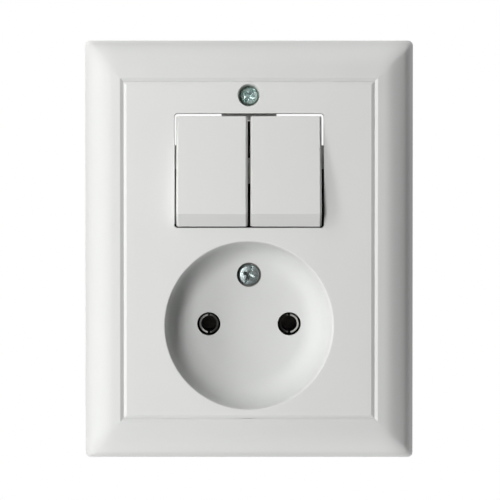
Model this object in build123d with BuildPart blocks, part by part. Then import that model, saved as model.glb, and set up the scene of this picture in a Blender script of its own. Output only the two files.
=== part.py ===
from build123d import *
from math import cos, radians, sin, tan
import os

os.makedirs("parts", exist_ok=True)

# Frame of reference: x to the right, y into the wall, z up, wall surface at y = 0.
# A level is a distance in front of the wall, a depth is a distance behind it.

# Cover frame
FRAME_WIDTH = 77.7
FRAME_HEIGHT = 98.85
FRAME_CORNER = 1.2
FRAME_WALL = 2.0
FACE_LEVEL = 12.0
SIDE_DRAFT = 12.0
BORDER_SLOPE = 6.0
BORDER_RADIUS = 8.0
SIDE_BORDER = 8.8
END_BORDER = 9.375
RIM_WALL = 1.6
LEDGE_WIDTH = 1.75
LEDGE_THICKNESS = 2.0

# Centre plate
PLATE_WIDTH = 58.4
PLATE_HEIGHT = 78.4
PLATE_THICKNESS = 2.5
SEAM_GAP = 0.04
GROOVE_WIDTH = 0.75
GROOVE_DEPTH = 0.32
RIB_WALL = 1.2
RIB_DEPTH = 2.0
RIB_GAP = 0.15

# Socket dish
DISH_Z = -17.6
MOUTH_DIAMETER = 39.2
DISH_DEPTH = 8.5
DISH_DRAFT = 9.0
DISH_WALL = 1.9
DISH_FILLET = 6.5
MOUTH_ROUNDING = 0.3
DISH_NOTCH_GAP = 0.2
PIN_SPACING = 19.0
PIN_HOLE_DIAMETER = 5.5

# Switch window and rockers
WINDOW_WIDTH = 34.9
WINDOW_HEIGHT = 26.7
WINDOW_CORNER = 0.8
SWITCH_Z = 18.45
ROCKER_PITCH = 17.2
ROCKER_WIDTH = 16.6
ROCKER_WALL = 1.6
ROCKER_EDGE = 0.25
ROCKER_BEVEL = 0.5
ROCKER_BEVEL_DEPTH = 1.6
ROCKER_TRAVEL = 9.0
PIVOT_LEVEL = 10.5
ROCKER_TOP = (12.7, 1.8)
ROCKER_RIDGE = (-10.1, 4.5)
ROCKER_TOE = (-13.0, 2.4)
ROCKER_SKIRT = 2.5
SKIRT_TAPER = 0.4
STEM_RADIUS = 2.6
STEM_ROOT = 2.5
STEM_REACH = 11.0
TRUNNION_RADIUS = 1.3
TRUNNION_LENGTH = 10.6
PIVOT_CLEARANCE = 0.08

# Bearing ears of the mechanism cover
EAR_INSIDE = 3.3
EAR_THICKNESS = 2.1
EAR_TIP = 0.8
EAR_TIP_HALF = 2.2
EAR_FOOT_HALF = 2.8
POST_THICKNESS = 1.6
POST_LEVEL = 5.4
POST_FOOT = 6.0
POST_TOP = 30.2
POST_OVERHANG = 25.0
POST_CLEARANCE = 0.3
TONGUE_THICKNESS = 0.3
TONGUE_LEVEL = 11.2
TONGUE_HALF = 3.0

# Plunger and spring
BORE_TOP = 3.0
PLUNGER_RADIUS = 1.3
PLUNGER_CLEARANCE = 0.08
PLUNGER_TOP = 8.1
PLUNGER_NECK = 13.0
TIP_RADIUS = 1.0
TIP_GAP = 0.26
SEAT_NIB_RADIUS = 0.6
SEAT_NIB_LENGTH = 0.8
SPRING_RADIUS = 0.98
SPRING_WIRE = 0.36
SPRING_TURNS = 5
SPRING_END_GAP = 0.08

# Contact blade and rivets
BLADE_DEPTH = 6.6
BLADE_TILT = 8.0
BLADE_WIDTH = 5.2
BLADE_UPPER = 3.4
BLADE_LOWER = 7.4
STRIP_THICKNESS = 0.8
LUG_RADIUS = 0.6
LUG_LENGTH = 1.2
LUG_CLEARANCE = 0.08
RIVET_OFFSET = 5.6
RIVET_RADIUS = 1.5
RIVET_HEIGHT = 0.7
RIVET_SHANK = 0.7
RIVET_UPSET_RADIUS = 1.1
RIVET_UPSET_HEIGHT = 0.35
RIVET_CLEARANCE = 0.05
CONTACT_GAP = 0.08

# Strips and terminals
COMMON_WIDTH = 3.0
COMMON_LENGTH = 26.4
OUTPUT_WIDTH = 5.0
OUTPUT_INNER = 6.2
OUTPUT_BEND = 13.2
COMMON_BEND = 22.0
COMMON_TAIL_WIDTH = 5.0
CHEEK_GAP = 0.3
CHEEK_HALF = 1.7
CHEEK_TOP = 1.0
PAD_LENGTH = 7.2
SCREW_ON_PAD = 3.9
STRIP_CLEARANCE = 0.2
CLAMP_WIDTH = 4.8
CLAMP_WALL = 0.8
CLAMP_THICKNESS = 1.2
CLAMP_LEG = 2.2
CLAMP_LENGTH = 5.4
CLAMP_HOLE_GAP = 0.1
TERMINAL_HEAD_RADIUS = 2.6
TERMINAL_HEAD_HEIGHT = 1.8
TERMINAL_SHANK_RADIUS = 1.5
TERMINAL_SHANK_END = 13.0
TERMINAL_SLOT = 0.8
TERMINAL_SLOT_DEPTH = 0.8
TERMINAL_HOLE_GAP = 0.3

# Socket contacts
SLEEVE_BORE = 3.7
SLEEVE_WALL = 0.4
SLEEVE_LEVEL = 1.1
SLEEVE_SLIT = 0.6
SLIT_DEPTH = 6.5
CONTACT_TAIL_WIDTH = 4.7
CONTACT_BEND = -9.6

# Base housing and mechanism cover
BASE_RADIUS = 28.0
BASE_WIDTH = 47.0
BASE_WALL = 2.0
BASE_DEPTH = 27.0
COVER_FRONT = 0.2
COVER_BACK = 2.2
COVER_GAP = 0.2
COVER_LEDGE = 0.8
SOCKET_FLOOR = 13.0
BAY_FLOOR = 15.4
COLLAR_LEVEL = 1.4
COLLAR_BORE = 6.4
COLLAR_WALL = 1.1
SLOT_WIDTH = 6.0
SLOT_HEIGHT = 9.0
CHAMBER_FOOT = 9.5
POCKET_MARGIN = 1.0
BAY_MARGIN = 0.6
BAY_SIDE = 1.3
CORE_TOP = -12.0
CORE_RIB = 2.4
SCREW_POCKET_GAP = 0.5

# Support plate
SUPPORT_SIDE_INSET = 3.7
SUPPORT_END_INSET = 5.35
SUPPORT_CORNER = 4.0
SUPPORT_THICKNESS = 1.2
SUPPORT_WINDOW_WIDTH = 29.4
SUPPORT_WINDOW_HEIGHT = 10.4
GAP_MARGIN = 0.25
GAP_WINDOW_TOP = 19.0
CUTOUT_INSIDE = 6.5
CUTOUT_MARGIN = 1.6
CUTOUT_FOOT = 24.6
CUTOUT_CORNER = 1.0
COLLAR_CLEARANCE = 0.3
BOX_SCREW_SPACING = 60.0
BOX_SLOT_LENGTH = 7.0
BOX_SLOT_WIDTH = 3.8
SUPPORT_RIVETS = ((19.5, 3.0), (20.5, -10.0))
SUPPORT_RIVET_RADIUS = 1.25
SUPPORT_RIVET_HEAD = 2.2
SUPPORT_RIVET_HEIGHT = 0.9
SUPPORT_RIVET_DEPTH = 7.0
RIVET_FIT = 0.05

# Cover screws
UPPER_SCREW_Z = 36.0
UPPER_BORE_DIAMETER = 5.3
UPPER_SEAT_DIAMETER = 4.4
UPPER_HEAD_DIAMETER = 4.1
UPPER_HEAD_SINK = 3.3
UPPER_HEAD_HEIGHT = 1.9
UPPER_SHANK_RADIUS = 1.25
UPPER_BOSS_RADIUS = 3.1
BOSS_GAP = 0.2
SOCKET_SCREW_Z = -6.0
SOCKET_BORE_DIAMETER = 5.75
SOCKET_HEAD_DIAMETER = 4.8
SOCKET_HEAD_SINK = 0.3
SOCKET_HEAD_HEIGHT = 1.1
SOCKET_SHANK_RADIUS = 1.5
SOCKET_BOSS_RADIUS = 4.2
SCREW_CLEARANCE = 0.1
THREAD_FIT = 0.05
SCREW_END_DEPTH = 3.0
HEAD_ROUNDING = 0.5
RECESS_WIDTH = 0.75
RECESS_SPAN = 2.7
RECESS_DEPTH = 1.1

# Values that follow from the ones above
plate_back = FACE_LEVEL - PLATE_THICKNESS
ledge_back = plate_back - LEDGE_THICKNESS
seat_width = PLATE_WIDTH + 2 * SEAM_GAP
seat_height = PLATE_HEIGHT + 2 * SEAM_GAP
mouth_radius = MOUTH_DIAMETER / 2
dish_floor = FACE_LEVEL - DISH_DEPTH
dish_back = dish_floor - DISH_WALL
half_travel = radians(ROCKER_TRAVEL / 2)
tilt = radians(BLADE_TILT)
bore_radius = PLUNGER_RADIUS + PLUNGER_CLEARANCE
SIDES = (("left", -1), ("right", 1))

# The plunger tip stands TIP_GAP off the tilted blade in the rest pose.
pivot_to_blade = PIVOT_LEVEL + BLADE_DEPTH
tip_standoff = STRIP_THICKNESS / 2 + TIP_RADIUS + TIP_GAP
tip_centre = (pivot_to_blade * cos(tilt) - tip_standoff) / cos(half_travel + tilt)

# The fixed contact faces the lowest edge of the tilted rivet.
rivet_reach = STRIP_THICKNESS / 2 + RIVET_HEIGHT
rivet_edge_depth = BLADE_DEPTH + rivet_reach * cos(tilt) + (RIVET_OFFSET + RIVET_RADIUS) * sin(tilt)
fixed_face_depth = rivet_edge_depth + CONTACT_GAP
output_front = fixed_face_depth + RIVET_HEIGHT
switch_floor = output_front + STRIP_THICKNESS
rivet_drop = RIVET_OFFSET * cos(tilt) - rivet_reach * sin(tilt)

# Section planes: across the part, upright, and parallel to the wall
ACROSS = Plane(origin=(0, 0, 0), x_dir=(1, 0, 0), z_dir=(0, 0, -1))
UPRIGHT = Plane(origin=(0, 0, 0), x_dir=(0, 0, 1), z_dir=(1, 0, 0))


def level(distance):
    """Plane in front of the wall, facing the viewer."""
    return Plane.XZ.offset(distance)


def depth(distance):
    """Plane behind the wall surface, facing the viewer."""
    return Plane.XZ.offset(-distance)


def across_at(z):
    """Section plane across the part at a height: first axis right, second axis to the viewer."""
    return Plane(origin=(0, 0, z), x_dir=(1, 0, 0), z_dir=(0, 0, -1))


def upright_at(x, z=0, y=0):
    """Upright section plane: first axis up, second axis to the viewer."""
    return Plane(origin=(x, y, z), x_dir=(0, 0, 1), z_dir=(1, 0, 0))


def front_axis(x, z):
    """Axis towards the viewer through a point of the wall."""
    return Axis((x, 0, z), (0, -1, 0))


# Domed cover: a sloping border that rounds over into a drafted side
def loaf_section(width, face, radius, border):
    foot = width / 2
    flat = foot - border
    slope = tan(radians(BORDER_SLOPE))
    draft = tan(radians(SIDE_DRAFT))
    shoulder_level = (face - border * slope) / (1 - draft * slope)
    shoulder = foot - shoulder_level * draft
    with BuildLine() as outline:
        Polyline(
            (-foot, 0),
            (-shoulder, shoulder_level),
            (-flat, face),
            (flat, face),
            (shoulder, shoulder_level),
            (foot, 0),
            close=True,
        )
    make_face(outline.edges())
    fillet(vertices().group_by(Axis.Y)[1], radius)


def is_mitre(edge):
    """True for the ridges at the four corners."""
    middle = edge.center()
    beyond_width = abs(middle.X) > FRAME_WIDTH / 2 - SIDE_BORDER
    beyond_height = abs(middle.Z) > FRAME_HEIGHT / 2 - END_BORDER
    return beyond_width and beyond_height


with BuildPart() as frame_hollow:
    with BuildSketch(ACROSS):
        loaf_section(
            FRAME_WIDTH - 2 * FRAME_WALL,
            FACE_LEVEL - FRAME_WALL,
            BORDER_RADIUS - FRAME_WALL,
            SIDE_BORDER - FRAME_WALL,
        )
    extrude(amount=FRAME_HEIGHT, both=True)
    with BuildSketch(UPRIGHT):
        loaf_section(
            FRAME_HEIGHT - 2 * FRAME_WALL,
            FACE_LEVEL - FRAME_WALL,
            BORDER_RADIUS - FRAME_WALL,
            END_BORDER - FRAME_WALL,
        )
    extrude(amount=FRAME_WIDTH, both=True, mode=Mode.INTERSECT)
    with BuildSketch(level(ledge_back)):
        Rectangle(seat_width + 2 * RIM_WALL, seat_height + 2 * RIM_WALL)
    extrude(amount=FACE_LEVEL, mode=Mode.SUBTRACT)

with BuildPart() as cover_frame:
    with BuildSketch(ACROSS):
        loaf_section(FRAME_WIDTH, FACE_LEVEL, BORDER_RADIUS, SIDE_BORDER)
    extrude(amount=FRAME_HEIGHT, both=True)
    with BuildSketch(UPRIGHT):
        loaf_section(FRAME_HEIGHT, FACE_LEVEL, BORDER_RADIUS, END_BORDER)
    extrude(amount=FRAME_WIDTH, both=True, mode=Mode.INTERSECT)
    fillet(edges().filter_by(is_mitre), FRAME_CORNER)
    add(frame_hollow.part, mode=Mode.SUBTRACT)
    # window inside the ledge, then the seat of the plate and its half of the groove
    with BuildSketch(level(0)):
        Rectangle(seat_width - 2 * LEDGE_WIDTH, seat_height - 2 * LEDGE_WIDTH)
        with Locations((0, UPPER_SCREW_Z)):
            Circle(UPPER_BOSS_RADIUS + BOSS_GAP)
        with Locations((0, DISH_Z)):
            Circle(mouth_radius + DISH_WALL / cos(radians(DISH_DRAFT)) + DISH_NOTCH_GAP)
    extrude(amount=FACE_LEVEL, mode=Mode.SUBTRACT)
    with BuildSketch(level(plate_back)):
        Rectangle(seat_width, seat_height)
    extrude(amount=PLATE_THICKNESS, mode=Mode.SUBTRACT)
    with BuildSketch(level(FACE_LEVEL - GROOVE_DEPTH)):
        Rectangle(seat_width, seat_height)
    with BuildSketch(level(FACE_LEVEL)):
        Rectangle(seat_width + 2 * GROOVE_WIDTH, seat_height + 2 * GROOVE_WIDTH)
    loft(mode=Mode.SUBTRACT)
cover_frame.part.label = "cover_frame"
export_step(cover_frame.part, "parts/cover_frame.step")


# Centre plate with the dish, the switch window and the screw seats
def dish_radius(at_level):
    return mouth_radius - (FACE_LEVEL - at_level) * tan(radians(DISH_DRAFT))


with BuildPart() as centre_plate:
    with BuildSketch(level(plate_back)):
        Rectangle(PLATE_WIDTH, PLATE_HEIGHT)
    extrude(amount=PLATE_THICKNESS - GROOVE_DEPTH)
    with BuildSketch(level(FACE_LEVEL - GROOVE_DEPTH)):
        Rectangle(PLATE_WIDTH, PLATE_HEIGHT)
    with BuildSketch(level(FACE_LEVEL)):
        Rectangle(PLATE_WIDTH - 2 * GROOVE_WIDTH, PLATE_HEIGHT - 2 * GROOVE_WIDTH)
    loft()
    # locating rib inside the ledge, and the rib round the switch window
    rib_width = seat_width - 2 * LEDGE_WIDTH - 2 * RIB_GAP
    rib_height = seat_height - 2 * LEDGE_WIDTH - 2 * RIB_GAP
    with BuildSketch(level(plate_back)):
        Rectangle(rib_width, rib_height)
        Rectangle(rib_width - 2 * RIB_WALL, rib_height - 2 * RIB_WALL, mode=Mode.SUBTRACT)
        with Locations((0, SWITCH_Z)):
            Rectangle(WINDOW_WIDTH + 2 * RIB_WALL, WINDOW_HEIGHT + 2 * RIB_WALL)
    extrude(amount=-RIB_DEPTH)
    # screw bosses that bear on the support plate
    with BuildSketch(level(SUPPORT_THICKNESS)):
        with Locations((0, UPPER_SCREW_Z)):
            Circle(UPPER_BOSS_RADIUS)
    extrude(amount=plate_back - SUPPORT_THICKNESS)
    with BuildSketch(level(SUPPORT_THICKNESS)):
        with Locations((0, SOCKET_SCREW_Z)):
            Circle(SOCKET_BOSS_RADIUS)
    extrude(amount=DISH_WALL)
    # bowl of the dish
    bowl_wall = DISH_WALL / cos(radians(DISH_DRAFT))
    with BuildSketch(across_at(DISH_Z)):
        with BuildLine():
            Polyline(
                (0, dish_back),
                (dish_radius(dish_back) + bowl_wall, dish_back),
                (dish_radius(plate_back) + bowl_wall, plate_back),
                (0, plate_back),
                close=True,
            )
        make_face()
        fillet(vertices().group_by(Axis.Y)[0].sort_by(Axis.X)[-1:], DISH_FILLET + DISH_WALL)
    revolve(axis=front_axis(0, DISH_Z))
    with BuildSketch(across_at(DISH_Z)):
        with BuildLine():
            Polyline(
                (0, dish_floor),
                (dish_radius(dish_floor), dish_floor),
                (mouth_radius, FACE_LEVEL),
                (0, FACE_LEVEL),
                close=True,
            )
        make_face()
        fillet(vertices().group_by(Axis.Y)[0].sort_by(Axis.X)[-1:], DISH_FILLET)
    revolve(axis=front_axis(0, DISH_Z), mode=Mode.SUBTRACT)
    mouth = edges().filter_by(GeomType.CIRCLE).filter_by(lambda e: abs(e.radius - mouth_radius) < 0.01)
    fillet(mouth, MOUTH_ROUNDING)
    with BuildSketch(level(dish_floor)):
        with GridLocations(PIN_SPACING, 0, 2, 1):
            with Locations((0, DISH_Z)):
                Circle(PIN_HOLE_DIAMETER / 2)
    extrude(amount=-DISH_DEPTH, mode=Mode.SUBTRACT)
    # switch window
    with BuildSketch(level(ledge_back)):
        with Locations((0, SWITCH_Z)):
            RectangleRounded(WINDOW_WIDTH, WINDOW_HEIGHT, WINDOW_CORNER)
    extrude(amount=FACE_LEVEL, mode=Mode.SUBTRACT)
    # stepped bores of the upper screw and the socket screw
    upper_head_top = FACE_LEVEL - UPPER_HEAD_SINK
    upper_seat = upper_head_top - UPPER_HEAD_HEIGHT
    socket_head_top = dish_floor - SOCKET_HEAD_SINK
    socket_seat = socket_head_top - SOCKET_HEAD_HEIGHT
    with BuildSketch(across_at(UPPER_SCREW_Z)):
        with BuildLine():
            Polyline(
                (0, FACE_LEVEL),
                (UPPER_BORE_DIAMETER / 2, FACE_LEVEL),
                (UPPER_SEAT_DIAMETER / 2, upper_seat),
                (UPPER_SHANK_RADIUS + SCREW_CLEARANCE, upper_seat),
                (UPPER_SHANK_RADIUS + SCREW_CLEARANCE, 0),
                (0, 0),
                close=True,
            )
        make_face()
    revolve(axis=front_axis(0, UPPER_SCREW_Z), mode=Mode.SUBTRACT)
    with BuildSketch(across_at(SOCKET_SCREW_Z)):
        socket_hole = SOCKET_SHANK_RADIUS + SCREW_CLEARANCE
        with BuildLine():
            Polyline(
                (0, FACE_LEVEL),
                (SOCKET_BORE_DIAMETER / 2, FACE_LEVEL),
                (SOCKET_BORE_DIAMETER / 2, socket_seat),
                (socket_hole, socket_seat),
                (socket_hole, 0),
                (0, 0),
                close=True,
            )
        make_face()
    revolve(axis=front_axis(0, SOCKET_SCREW_Z), mode=Mode.SUBTRACT)
centre_plate.part.label = "centre_plate"
export_step(centre_plate.part, "parts/centre_plate.step")


# Rockers: a hollow shell with a stem that carries the trunnions and the plunger bore
def rocker_section(skirt):
    """Rocker outline in the rest pose, from the pivot: first axis up, second to the viewer."""
    with BuildLine() as outline:
        Polyline(
            ROCKER_TOP,
            ROCKER_RIDGE,
            ROCKER_TOE,
            (ROCKER_TOE[0] + SKIRT_TAPER, -skirt),
            (ROCKER_TOP[0] - SKIRT_TAPER, -skirt),
            close=True,
        )
    make_face(outline.edges())


def rocker_centre(sign):
    return sign * ROCKER_PITCH / 2


def pivot_point(sign):
    return (rocker_centre(sign), -PIVOT_LEVEL, SWITCH_Z)


STEM_DIRECTION = (0, cos(half_travel), -sin(half_travel))


def stem_plane(sign, along=0):
    """Plane across the stem, at a distance from the pivot, facing into the wall."""
    return Plane(origin=pivot_point(sign), x_dir=(1, 0, 0), z_dir=STEM_DIRECTION).offset(along)


for side, sign in SIDES:
    with BuildPart() as rocker:
        section = upright_at(rocker_centre(sign), SWITCH_Z, -PIVOT_LEVEL)
        with BuildSketch(section):
            rocker_section(ROCKER_SKIRT)
        extrude(amount=ROCKER_WIDTH / 2, both=True)
        for flank in faces().filter_by(Axis.X):
            front_edges = flank.edges().sort_by(Axis.Y)[:2]
            chamfer(front_edges, ROCKER_BEVEL_DEPTH, ROCKER_BEVEL, reference=flank)
        fillet(edges().filter_by(Axis.X).sort_by(Axis.Y)[:3], ROCKER_EDGE)
        with BuildSketch(section):
            rocker_section(ROCKER_SKIRT + 2 * ROCKER_WALL)
            offset(amount=-ROCKER_WALL, kind=Kind.INTERSECTION)
        extrude(amount=ROCKER_WIDTH / 2 - ROCKER_WALL, both=True, mode=Mode.SUBTRACT)
        with BuildSketch(stem_plane(sign, -STEM_ROOT)):
            Circle(STEM_RADIUS)
        extrude(amount=STEM_ROOT + STEM_REACH)
        with BuildSketch(section):
            Circle(TRUNNION_RADIUS)
        extrude(amount=TRUNNION_LENGTH / 2, both=True)
        with BuildSketch(stem_plane(sign, BORE_TOP)):
            Circle(bore_radius)
        extrude(amount=STEM_REACH - BORE_TOP, mode=Mode.SUBTRACT)
    rocker.part.label = f"{side}_rocker"
    export_step(rocker.part, f"parts/{side}_rocker.step")

    # Plunger with a round tip, guided in the stem
    with BuildPart() as plunger:
        with BuildSketch(
            Plane(origin=pivot_point(sign), x_dir=(1, 0, 0), z_dir=(0, sin(half_travel), cos(half_travel)))
        ):
            with BuildLine():
                Polyline(
                    (0, tip_centre + TIP_RADIUS),
                    (0, PLUNGER_TOP - SEAT_NIB_LENGTH),
                    (SEAT_NIB_RADIUS, PLUNGER_TOP - SEAT_NIB_LENGTH),
                    (SEAT_NIB_RADIUS, PLUNGER_TOP),
                    (PLUNGER_RADIUS, PLUNGER_TOP),
                    (PLUNGER_RADIUS, PLUNGER_NECK),
                    (TIP_RADIUS, PLUNGER_NECK + PLUNGER_RADIUS - TIP_RADIUS),
                    (TIP_RADIUS, tip_centre),
                )
                CenterArc((0, tip_centre), TIP_RADIUS, 0, 90)
            make_face()
        revolve(axis=Axis(pivot_point(sign), STEM_DIRECTION))
    plunger.part.label = f"{side}_plunger"
    export_step(plunger.part, f"parts/{side}_plunger.step")

    # Plunger spring between the bore's end and the plunger
    coil_start = BORE_TOP + SPRING_END_GAP + SPRING_WIRE / 2
    coil_height = PLUNGER_TOP - SPRING_END_GAP - SPRING_WIRE / 2 - coil_start
    with BuildPart() as spring:
        with BuildLine() as coil:
            Helix(
                pitch=coil_height / SPRING_TURNS,
                height=coil_height,
                radius=SPRING_RADIUS,
                center=stem_plane(sign, coil_start).origin,
                direction=STEM_DIRECTION,
            )
        with BuildSketch(Plane(origin=coil.line @ 0, z_dir=coil.line % 0)):
            Rectangle(SPRING_WIRE, SPRING_WIRE)
        sweep(path=coil.line, is_frenet=True)
    spring.part.label = f"{side}_plunger_spring"
    export_step(spring.part, f"parts/{side}_plunger_spring.step")

    # See-saw contact blade with its pivot lugs, tilted in the rest pose
    blade_plane = Plane(
        origin=(rocker_centre(sign), BLADE_DEPTH, SWITCH_Z),
        x_dir=(1, 0, 0),
        z_dir=(0, cos(tilt), sin(tilt)),
    )
    blade_front = blade_plane.offset(-STRIP_THICKNESS / 2)
    blade_back = blade_plane.offset(STRIP_THICKNESS / 2)
    with BuildPart() as blade:
        with BuildSketch(blade_front):
            with Locations((0, (BLADE_LOWER - BLADE_UPPER) / 2)):
                Rectangle(BLADE_WIDTH, BLADE_LOWER + BLADE_UPPER)
            fillet(vertices(), STRIP_THICKNESS)
            with Locations((0, RIVET_OFFSET)):
                Circle(RIVET_SHANK + RIVET_CLEARANCE, mode=Mode.SUBTRACT)
        extrude(amount=STRIP_THICKNESS)
        lug_start = BLADE_WIDTH / 2 - LUG_RADIUS
        for end in (-1, 1):
            with BuildSketch(upright_at(rocker_centre(sign) + end * lug_start, SWITCH_Z, BLADE_DEPTH)):
                Circle(LUG_RADIUS)
            extrude(amount=end * (LUG_RADIUS + LUG_LENGTH))
    blade.part.label = f"{side}_contact_blade"
    export_step(blade.part, f"parts/{side}_contact_blade.step")

    # Moving contact rivet
    with BuildPart() as blade_rivet:
        with BuildSketch(blade_front):
            with Locations((0, RIVET_OFFSET)):
                Circle(RIVET_SHANK)
        extrude(amount=STRIP_THICKNESS)
        with BuildSketch(blade_back):
            with Locations((0, RIVET_OFFSET)):
                Circle(RIVET_RADIUS)
        extrude(amount=RIVET_HEIGHT)
        with BuildSketch(blade_front):
            with Locations((0, RIVET_OFFSET)):
                Circle(RIVET_UPSET_RADIUS)
        extrude(amount=-RIVET_UPSET_HEIGHT)
    blade_rivet.part.label = f"{side}_blade_rivet"
    export_step(blade_rivet.part, f"parts/{side}_blade_rivet.step")

    # Fixed contact rivet
    output_z = SWITCH_Z - rivet_drop
    with BuildPart() as fixed_rivet:
        with BuildSketch(depth(output_front)):
            with Locations((rocker_centre(sign), output_z)):
                Circle(RIVET_RADIUS)
        extrude(amount=RIVET_HEIGHT)
        with BuildSketch(depth(output_front)):
            with Locations((rocker_centre(sign), output_z)):
                Circle(RIVET_SHANK)
        extrude(amount=-STRIP_THICKNESS)
    fixed_rivet.part.label = f"{side}_fixed_rivet"
    export_step(fixed_rivet.part, f"parts/{side}_fixed_rivet.step")


# Bent terminal strips
def strip_section(way, start, bend, end, front):
    """Z-bent strip from a chamber floor through the partition to its pad in the bay."""
    back = front + STRIP_THICKNESS
    pad_back = BAY_FLOOR + STRIP_THICKNESS
    with BuildLine() as outline:
        Polyline(
            (way * start, -front),
            (way * (bend + STRIP_THICKNESS), -front),
            (way * (bend + STRIP_THICKNESS), -BAY_FLOOR),
            (way * end, -BAY_FLOOR),
            (way * end, -pad_back),
            (way * bend, -pad_back),
            (way * bend, -back),
            (way * start, -back),
            close=True,
        )
    make_face(outline.edges())


terminal_hole = TERMINAL_SHANK_RADIUS + THREAD_FIT
output_screw_x = OUTPUT_BEND + SCREW_ON_PAD
common_screw_z = COMMON_BEND + STRIP_THICKNESS - SCREW_ON_PAD
contact_screw_z = CONTACT_BEND + SCREW_ON_PAD
pin_x = PIN_SPACING / 2

for side, sign in SIDES:
    with BuildPart() as output_strip:
        with BuildSketch(across_at(output_z)):
            strip_section(sign, OUTPUT_INNER, OUTPUT_BEND, OUTPUT_BEND + PAD_LENGTH, output_front)
        extrude(amount=OUTPUT_WIDTH / 2, both=True)
        with BuildSketch(depth(output_front)):
            with Locations((rocker_centre(sign), output_z)):
                Circle(RIVET_SHANK + RIVET_CLEARANCE)
            with Locations((sign * output_screw_x, output_z)):
                Circle(terminal_hole)
        extrude(amount=-BASE_DEPTH, mode=Mode.SUBTRACT)
    output_strip.part.label = f"{side}_output_strip"
    export_step(output_strip.part, f"parts/{side}_output_strip.step")

    # Socket contact: a slit spring sleeve on a bent foot
    sleeve_outer = SLEEVE_BORE / 2 + SLEEVE_WALL
    with BuildPart() as socket_contact:
        with BuildSketch(level(SLEEVE_LEVEL)):
            with Locations((sign * pin_x, DISH_Z)):
                Circle(sleeve_outer)
        extrude(amount=-SLEEVE_LEVEL - SOCKET_FLOOR)
        with BuildSketch(level(SLEEVE_LEVEL)):
            with Locations((sign * pin_x, DISH_Z)):
                Circle(SLEEVE_BORE / 2)
        extrude(amount=-SLEEVE_LEVEL - SOCKET_FLOOR + STRIP_THICKNESS, mode=Mode.SUBTRACT)
        with BuildSketch(level(SLEEVE_LEVEL)):
            with Locations((sign * pin_x, DISH_Z)):
                Rectangle(SLEEVE_SLIT, 2 * SLEEVE_BORE)
        extrude(amount=-SLIT_DEPTH, mode=Mode.SUBTRACT)
        with BuildSketch(upright_at(sign * pin_x)):
            strip_section(
                1,
                DISH_Z - sleeve_outer,
                CONTACT_BEND,
                CONTACT_BEND + PAD_LENGTH,
                SOCKET_FLOOR - STRIP_THICKNESS,
            )
        extrude(amount=CONTACT_TAIL_WIDTH / 2, both=True)
        with BuildSketch(depth(BAY_FLOOR)):
            with Locations((sign * pin_x, contact_screw_z)):
                Circle(terminal_hole)
        extrude(amount=-STRIP_THICKNESS, mode=Mode.SUBTRACT)
    socket_contact.part.label = f"{side}_socket_contact"
    export_step(socket_contact.part, f"parts/{side}_socket_contact.step")

# Common strip: a bar with four notched cheeks, and a tail folded back to its pad
with BuildPart() as common_strip:
    with BuildSketch(depth(output_front)):
        with Locations((0, SWITCH_Z)):
            Rectangle(COMMON_LENGTH, COMMON_WIDTH)
    extrude(amount=-STRIP_THICKNESS)
    with BuildSketch(UPRIGHT):
        tail_top = COMMON_BEND + STRIP_THICKNESS
        pad_back = BAY_FLOOR + STRIP_THICKNESS
        with BuildLine():
            Polyline(
                (SWITCH_Z, -output_front),
                (tail_top, -output_front),
                (tail_top, -pad_back),
                (tail_top - PAD_LENGTH, -pad_back),
                (tail_top - PAD_LENGTH, -BAY_FLOOR),
                (COMMON_BEND, -BAY_FLOOR),
                (COMMON_BEND, -switch_floor),
                (SWITCH_Z, -switch_floor),
                close=True,
            )
        make_face()
    extrude(amount=COMMON_TAIL_WIDTH / 2, both=True)
    with BuildSketch(depth(BAY_FLOOR)):
        with Locations((0, common_screw_z)):
            Circle(terminal_hole)
    extrude(amount=-STRIP_THICKNESS, mode=Mode.SUBTRACT)
    cheek_inside = BLADE_WIDTH / 2 + CHEEK_GAP
    for side, sign in SIDES:
        for end in (-1, 1):
            with BuildSketch(upright_at(rocker_centre(sign) + end * cheek_inside, SWITCH_Z)):
                with Locations((0, -(output_front + BLADE_DEPTH - CHEEK_TOP) / 2)):
                    Rectangle(2 * CHEEK_HALF, output_front - BLADE_DEPTH + CHEEK_TOP)
                with Locations((0, -BLADE_DEPTH)):
                    Circle(LUG_RADIUS + LUG_CLEARANCE, mode=Mode.SUBTRACT)
                with Locations((0, CHEEK_TOP - BLADE_DEPTH)):
                    Rectangle(2 * (LUG_RADIUS + LUG_CLEARANCE), 2 * CHEEK_TOP, mode=Mode.SUBTRACT)
            extrude(amount=end * STRIP_THICKNESS)
common_strip.part.label = "common_strip"
export_step(common_strip.part, "parts/common_strip.step")

# Terminals: a saddle clamp and a slotted screw on each pad
TERMINALS = (
    (-output_screw_x, output_z, 0),
    (output_screw_x, output_z, 0),
    (-pin_x, contact_screw_z, 0),
    (pin_x, contact_screw_z, 0),
    (0, common_screw_z, 90),
)
clamp_foot = BAY_FLOOR + STRIP_THICKNESS
clamp_top = clamp_foot + CLAMP_LEG + CLAMP_THICKNESS

with BuildPart() as terminal_clamps:
    for x, z, turn in TERMINALS:
        with BuildSketch(depth(clamp_foot)):
            with Locations(Location((x, z), turn)):
                Rectangle(CLAMP_LENGTH, CLAMP_WIDTH)
        extrude(amount=-CLAMP_LEG - CLAMP_THICKNESS)
        with BuildSketch(depth(clamp_foot)):
            with Locations(Location((x, z), turn)):
                Rectangle(CLAMP_LENGTH, CLAMP_WIDTH - 2 * CLAMP_WALL)
        extrude(amount=-CLAMP_LEG, mode=Mode.SUBTRACT)
        with BuildSketch(depth(clamp_foot)):
            with Locations((x, z)):
                Circle(TERMINAL_SHANK_RADIUS + CLAMP_HOLE_GAP)
        extrude(amount=-CLAMP_LEG - CLAMP_THICKNESS, mode=Mode.SUBTRACT)
terminal_clamps.part.label = "terminal_clamps"
export_step(terminal_clamps.part, "parts/terminal_clamps.step")

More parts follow.
